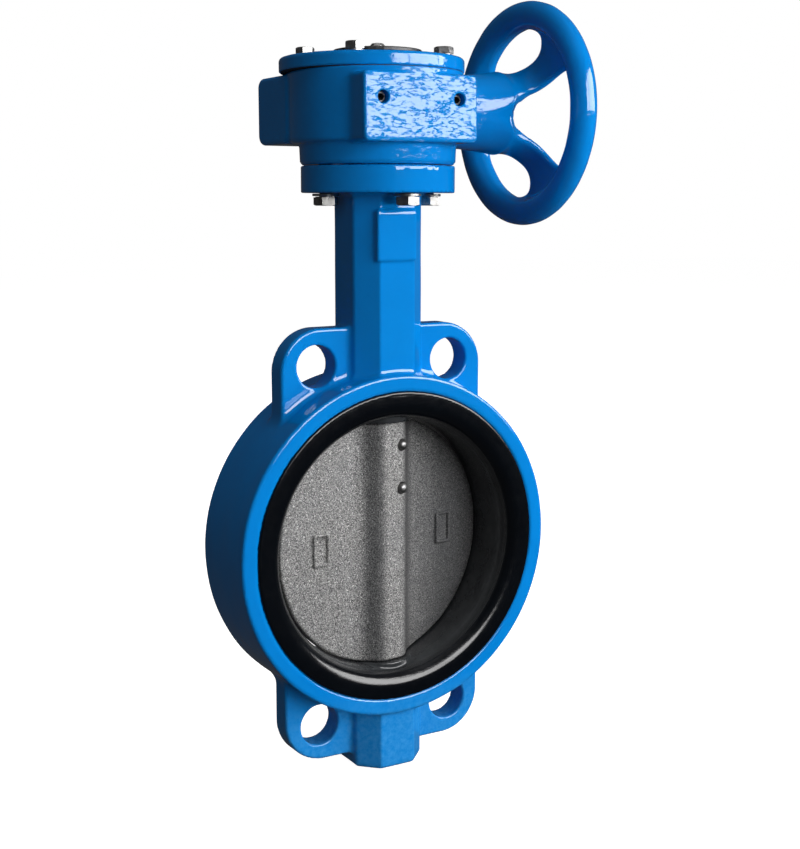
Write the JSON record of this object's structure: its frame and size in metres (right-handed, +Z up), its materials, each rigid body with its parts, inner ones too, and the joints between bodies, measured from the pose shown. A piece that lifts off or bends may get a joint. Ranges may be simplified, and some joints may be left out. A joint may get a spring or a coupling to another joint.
{
  "type": "wafer butterfly valve",
  "caption": "Wafer butterfly valve with rubber-lined bore, pinned disc, split stem and worm-gear operator turned by a three-spoke handwheel.",
  "frame": {"origin": "centre of the bore, on the stem axis, midway between the two pipe faces", "axes": "+Z up the stem, -Y out of the front pipe face along the flow, +X towards the handwheel"},
  "size_m": [0.2484, 0.166, 0.4795],
  "materials": {
    "paint": "gloss enamel over sand-cast iron",
    "rubber": "satin",
    "iron": "bare sand-cast",
    "steel": "bright",
    "bronze": "turned",
    "black": "satin"
  },
  "bodies": {
    "housing": {"bottom_plug": "steel", "cover_bolt_1": "steel", "cover_bolt_2": "steel", "cover_bolt_3": "steel", "cover_bolt_4": "steel", "cover_gasket": "rubber", "flange_bolt_1": "steel", "flange_bolt_2": "steel", "flange_bolt_3": "steel", "flange_bolt_4": "steel", "flange_washer_1": "steel", "flange_washer_2": "steel", "flange_washer_3": "steel", "flange_washer_4": "steel", "gear_housing": "paint", "housing_cover": "paint", "seat_liner": "rubber", "shaft_end_cap": "steel", "shaft_seal": "rubber", "stem_bush_bottom": "bronze", "stem_bush_lower": "bronze", "stem_bush_middle": "bronze", "stem_bush_upper": "bronze", "stem_seal_lower": "rubber", "stem_seal_upper": "rubber", "stop_screw_left": "steel", "stop_screw_right": "steel", "valve_body": "paint", "worm_bearing_left": "bronze", "worm_bearing_right": "bronze"},
    "disc": {"disc": "iron", "taper_pin_upper": "steel", "taper_pin_middle": "steel", "upper_stem": "steel", "lower_stem": "steel", "stem_circlip": "steel", "sector_gear": "iron", "stem_key": "steel", "position_indicator": "black", "indicator_screw": "steel"},
    "handwheel": {"handwheel": "paint", "handwheel_pin": "steel", "input_shaft": "steel", "worm": "steel"}
  },
  "joints": [
    {"name": "disc_turn", "type": "hinge", "parent": "housing", "child": "disc", "pos_m": [0, 0, 0], "axis": [0, 0, 1], "range_deg": [-9, 81]},
    {"name": "handwheel_turn", "type": "hinge", "parent": "housing", "child": "handwheel", "pos_m": [0, 0.041, 0.2645], "axis": [1, 0, 0], "range_deg": [-216, 1944]}
  ],
  "couplings": [
    {"joint": "handwheel_turn", "follows": "disc_turn", "ratio": 24}
  ]
}
